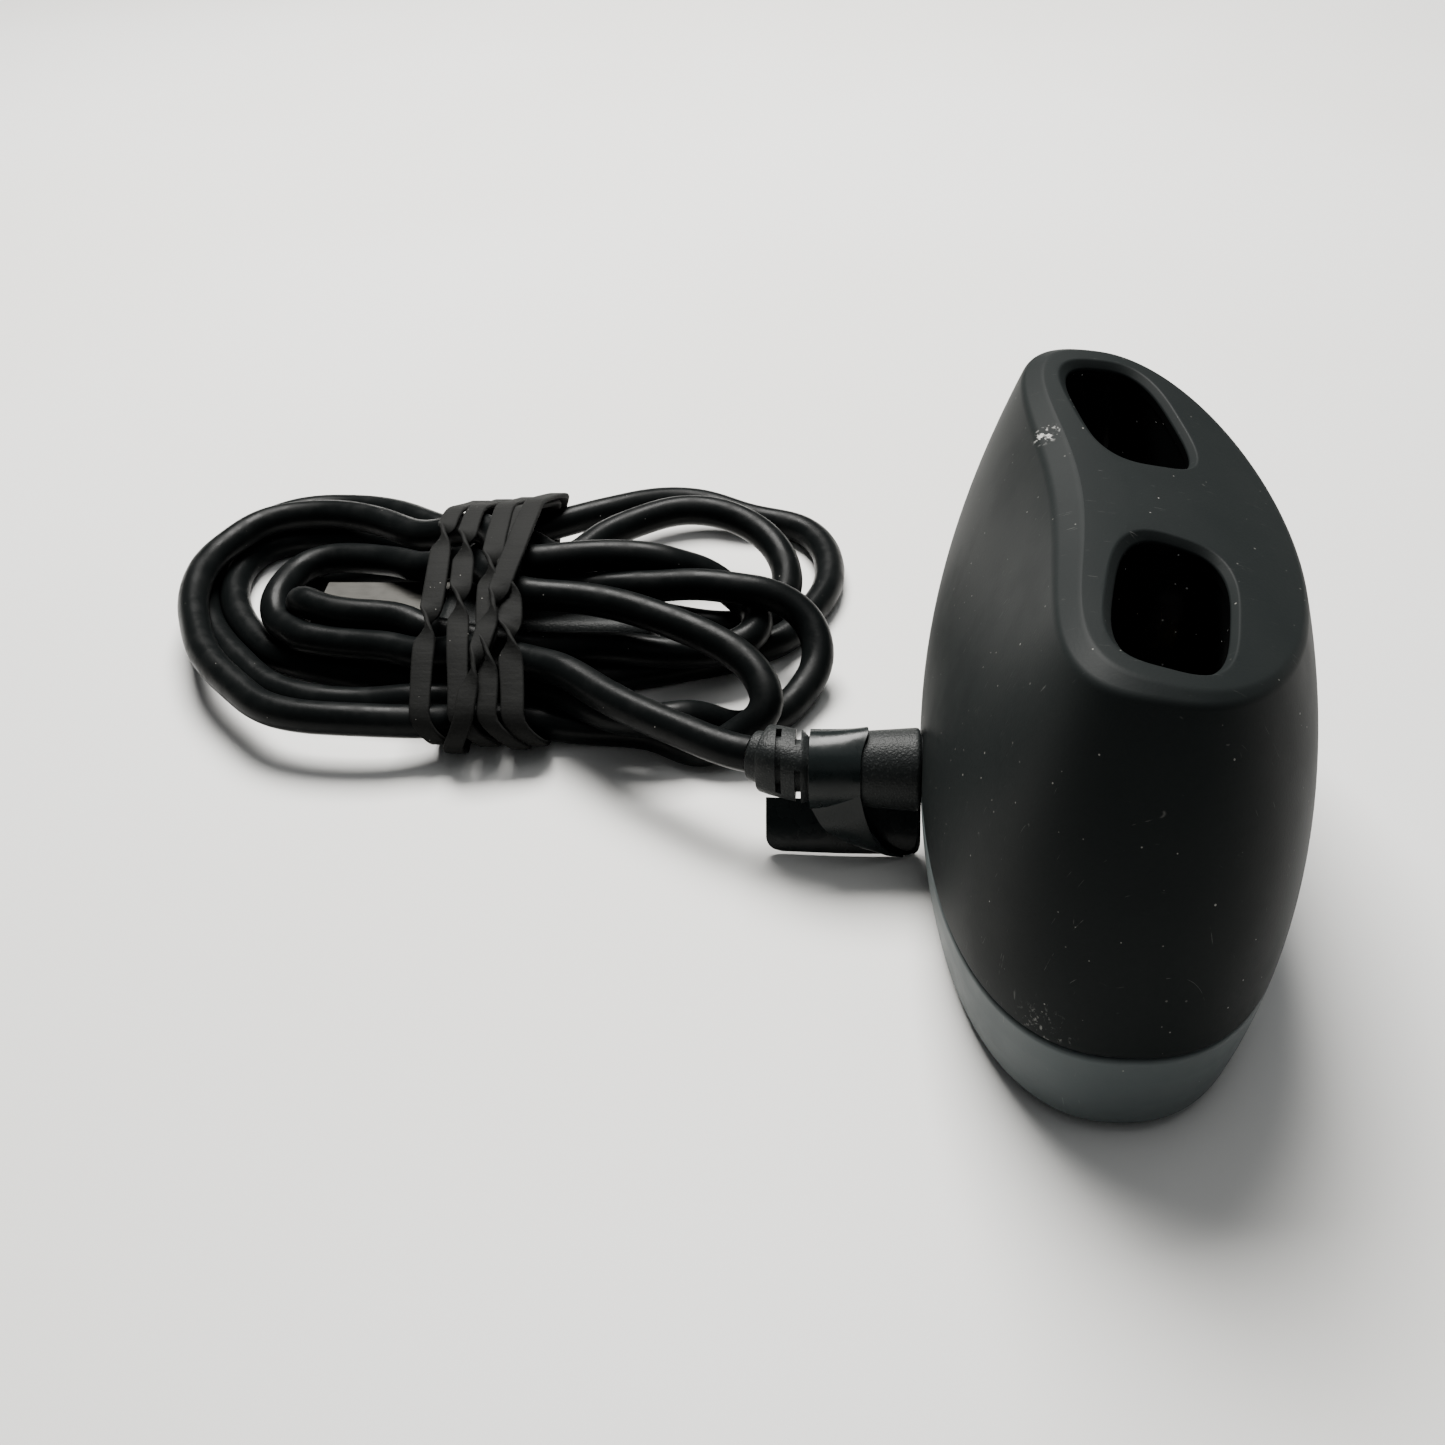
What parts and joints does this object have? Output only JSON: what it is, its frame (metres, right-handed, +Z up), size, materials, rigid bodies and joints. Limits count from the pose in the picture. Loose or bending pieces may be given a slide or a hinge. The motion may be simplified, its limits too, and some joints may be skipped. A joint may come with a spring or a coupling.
{
  "type": "two-bay charging dock",
  "caption": "Oval free-standing dock with two deep bays with sprung contacts in its sloping top, a moulded power plug in its back wall and a tied hank of cord.",
  "frame": {"origin": "on the surface that the dock stands on, under the middle of the dock's box without its cord", "axes": "+Z up, X along the dock, -Y its front, +Y the side where the plug and the cord leave"},
  "size_m": [0.1166, 0.1437, 0.0487],
  "materials": {
    "shell_plastic": "satin, faintly grained dark grey",
    "band_plastic": "satin blue-grey",
    "well_plastic": "glossy black",
    "base_plastic": "matt black",
    "foot_rubber": "matt black",
    "circuit_board": "green solder mask",
    "contact_plastic": "black moulding",
    "contact_metal": "gold plated",
    "steel": "plain",
    "ribbon_plastic": "grey flat cable",
    "plug_plastic": "finely textured soft black",
    "label_film": "dark film, satin gloss",
    "cord_jacket": "satin black jacket",
    "tie_rubber": "matt black rubber"
  },
  "bodies": {
    "dock": {"upper_shell": "shell_plastic", "base_band": "band_plastic", "base_plate": "base_plastic", "foot_pad": "foot_rubber", "left_well": "well_plastic", "right_well": "well_plastic", "left_contact_block": "contact_plastic", "right_contact_block": "contact_plastic", "left_contact_board": "circuit_board", "right_contact_board": "circuit_board", "left_spring_inner": "steel", "left_spring_outer": "steel", "right_spring_inner": "steel", "right_spring_outer": "steel", "left_ribbon": "ribbon_plastic", "right_ribbon": "ribbon_plastic", "main_board": "circuit_board", "left_charge_chip": "contact_plastic", "right_charge_chip": "contact_plastic", "capacitor": "steel", "inductor": "contact_plastic", "ballast_plate": "steel", "base_screw_1": "steel", "base_screw_2": "steel", "base_screw_3": "steel", "base_screw_4": "steel", "board_screw_left": "steel", "board_screw_right": "steel", "power_jack": "contact_plastic", "jack_pin": "contact_metal", "plug_barrel": "steel", "plug_grip": "plug_plastic", "strain_relief": "plug_plastic", "label_flag": "label_film", "cord_lead": "cord_jacket", "cord_hank": "cord_jacket", "rubber_band": "tie_rubber", "usb_grip": "plug_plastic", "usb_shell": "steel", "usb_tongue": "contact_plastic"},
    "left_inner_contact": {"left_pin_inner": "contact_metal"},
    "left_outer_contact": {"left_pin_outer": "contact_metal"},
    "right_inner_contact": {"right_pin_inner": "contact_metal"},
    "right_outer_contact": {"right_pin_outer": "contact_metal"}
  },
  "joints": [
    {"name": "left_inner_press", "type": "slide", "parent": "dock", "child": "left_inner_contact", "axis": [0, 0, -1], "range_m": [0, 0.001], "stiffness_N_per_m": 600, "deforming": ["left_spring_inner"]},
    {"name": "left_outer_press", "type": "slide", "parent": "dock", "child": "left_outer_contact", "axis": [0, 0, -1], "range_m": [0, 0.001], "stiffness_N_per_m": 600, "deforming": ["left_spring_outer"]},
    {"name": "right_inner_press", "type": "slide", "parent": "dock", "child": "right_inner_contact", "axis": [0, 0, -1], "range_m": [0, 0.001], "stiffness_N_per_m": 600, "deforming": ["right_spring_inner"]},
    {"name": "right_outer_press", "type": "slide", "parent": "dock", "child": "right_outer_contact", "axis": [0, 0, -1], "range_m": [0, 0.001], "stiffness_N_per_m": 600, "deforming": ["right_spring_outer"]}
  ]
}
